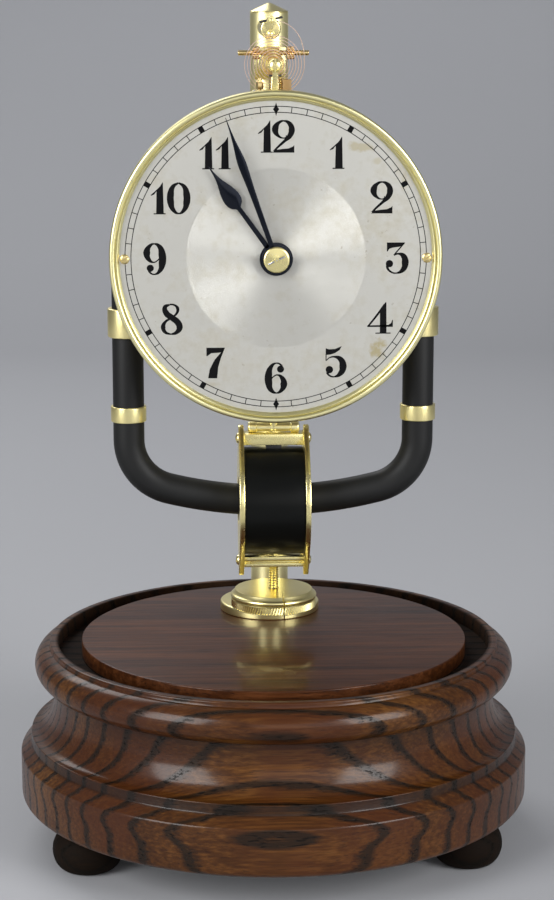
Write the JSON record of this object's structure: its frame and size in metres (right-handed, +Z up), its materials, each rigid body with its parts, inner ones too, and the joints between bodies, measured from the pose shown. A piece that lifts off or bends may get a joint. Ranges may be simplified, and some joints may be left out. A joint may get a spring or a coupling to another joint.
{
  "type": "electric dome clock",
  "caption": "Battery clock on a turned oak base: a coil pendulum swings along a U-shaped bar magnet under a round silvered dial on a brass column.",
  "frame": {"origin": "on the floor, at the middle of the round base", "axes": "+Z up, the dial faces -Y, +X to the right as seen from the front"},
  "size_m": [0.2, 0.2, 0.3243],
  "materials": {
    "dark_oak": "semi-gloss varnish over dark stained oak",
    "platform_wood": "gloss varnish over fine red-brown wood",
    "polished_brass": "polished and lacquered",
    "satin_brass": "satin lacquered",
    "magnet_black": "matt black enamel",
    "silvered": "silvered, circular grained in the middle",
    "blued_steel": "blued, nearly black",
    "steel": "bright steel",
    "phosphor_bronze": "bare spring strip",
    "fibre": "bare vulcanised fibre and brass",
    "black_winding": "glossy black covering",
    "ebonite": "polished ebonite",
    "cell_card": "card sleeve"
  },
  "bodies": {
    "clock_frame": {"base_body": "dark_oak", "platform_disc": "platform_wood", "bun_feet": "dark_oak", "column_flange": "polished_brass", "column_tube": "polished_brass", "column_stud": "polished_brass", "column_nut": "polished_brass", "dry_cell": "cell_card", "magnet_bar": "magnet_black", "magnet_yoke": "polished_brass", "magnet_clamp_left": "polished_brass", "magnet_clamp_right": "polished_brass", "clamp_screws": "polished_brass", "magnet_collar_left": "polished_brass", "magnet_collar_right": "polished_brass", "movement_bracket": "polished_brass", "back_plate": "polished_brass", "front_plate": "polished_brass", "plate_pillars": "polished_brass", "plate_screws": "steel", "dial_feet": "polished_brass", "dial_plate": "silvered", "bezel": "satin_brass", "dial_screws": "polished_brass", "motion_stud": "steel", "pivot_block": "polished_brass", "front_cock": "polished_brass", "pivot_screw": "polished_brass", "spring_stud": "polished_brass", "stud_pin": "blued_steel", "hairspring": "phosphor_bronze", "terminals": "fibre"},
    "pendulum": {"pendulum_arbor": "polished_brass", "pendulum_rod": "polished_brass", "cross_arm": "polished_brass", "coil_block": "polished_brass", "coil_top_bar": "polished_brass", "coil_bottom_bar": "polished_brass", "coil_cheek_left": "polished_brass", "coil_cheek_right": "polished_brass", "coil_winding": "black_winding", "ebonite_block": "ebonite", "cage_screws": "polished_brass", "rating_rod": "polished_brass"},
    "bob": {"bob": "polished_brass"},
    "rating_nut": {"rating_nut": "polished_brass"},
    "arm_nut_left": {"arm_nut_left": "polished_brass"},
    "arm_nut_right": {"arm_nut_right": "polished_brass"},
    "minute_arbor": {"centre_arbor": "polished_brass", "cannon_pinion": "steel", "minute_hand": "blued_steel", "hand_collet": "polished_brass"},
    "hour_pipe": {"hour_wheel": "polished_brass", "hour_hand": "blued_steel"},
    "minute_wheel": {"minute_wheel": "polished_brass"},
    "intermediate_wheel": {"intermediate_wheel": "polished_brass"},
    "count_arbor": {"count_wheel": "polished_brass"},
    "drive_pawl": {"drive_pawl": "steel"},
    "detent_click": {"detent_click": "steel"},
    "column_cap": {"column_cap": "polished_brass"}
  },
  "joints": [
    {"name": "pendulum_swing", "type": "hinge", "parent": "clock_frame", "child": "pendulum", "pos_m": [0, 0, 0.302], "axis": [0, 1, 0], "range_deg": [-7, 7]},
    {"name": "bob_slide", "type": "slide", "parent": "pendulum", "child": "bob", "axis": [0, 0, 1], "range_m": [-0.002, 0.002]},
    {"name": "rating_nut_turn", "type": "hinge", "parent": "bob", "child": "rating_nut", "pos_m": [0, 0, 0.093], "axis": [0, 0, 1], "range_deg": [-1441, 1441]},
    {"name": "arm_nut_left_slide", "type": "slide", "parent": "pendulum", "child": "arm_nut_left", "axis": [1, 0, 0], "range_m": [-0.0025, 0.0025]},
    {"name": "arm_nut_right_slide", "type": "slide", "parent": "pendulum", "child": "arm_nut_right", "axis": [1, 0, 0], "range_m": [-0.0025, 0.0025]},
    {"name": "minute_turn", "type": "hinge", "parent": "clock_frame", "child": "minute_arbor", "pos_m": [0, -0.02, 0.2315], "axis": [0, 1, 0], "continuous": true},
    {"name": "hour_turn", "type": "hinge", "parent": "clock_frame", "child": "hour_pipe", "pos_m": [0, -0.022, 0.2315], "axis": [0, 1, 0], "continuous": true},
    {"name": "minute_wheel_turn", "type": "hinge", "parent": "clock_frame", "child": "minute_wheel", "pos_m": [0.01103, -0.02, 0.22224], "axis": [0, 1, 0], "continuous": true},
    {"name": "intermediate_turn", "type": "hinge", "parent": "clock_frame", "child": "intermediate_wheel", "pos_m": [0, -0.012, 0.2535], "axis": [0, 1, 0], "continuous": true},
    {"name": "count_turn", "type": "hinge", "parent": "clock_frame", "child": "count_arbor", "pos_m": [0, -0.012, 0.2675], "axis": [0, 1, 0], "continuous": true},
    {"name": "drive_pawl_lift", "type": "hinge", "parent": "pendulum", "child": "drive_pawl", "pos_m": [-0.007, -0.005, 0.291], "axis": [0, -1, 0], "range_deg": [0, 18]},
    {"name": "detent_click_lift", "type": "hinge", "parent": "clock_frame", "child": "detent_click", "pos_m": [0.022, -0.005, 0.279], "axis": [0, 1, 0], "range_deg": [0, 18]},
    {"name": "column_cap_lift", "type": "slide", "parent": "clock_frame", "child": "column_cap", "axis": [0, 0, 1], "range_m": [0, 0.02]}
  ],
  "couplings": [
    {"joint": "rating_nut_turn", "follows": "bob_slide", "rad_per_m": 12566},
    {"joint": "hour_turn", "follows": "minute_turn", "ratio": 0.083333},
    {"joint": "minute_wheel_turn", "follows": "minute_turn", "ratio": -0.33333},
    {"joint": "intermediate_turn", "follows": "minute_turn", "ratio": -10},
    {"joint": "count_turn", "follows": "minute_turn", "ratio": 60}
  ]
}
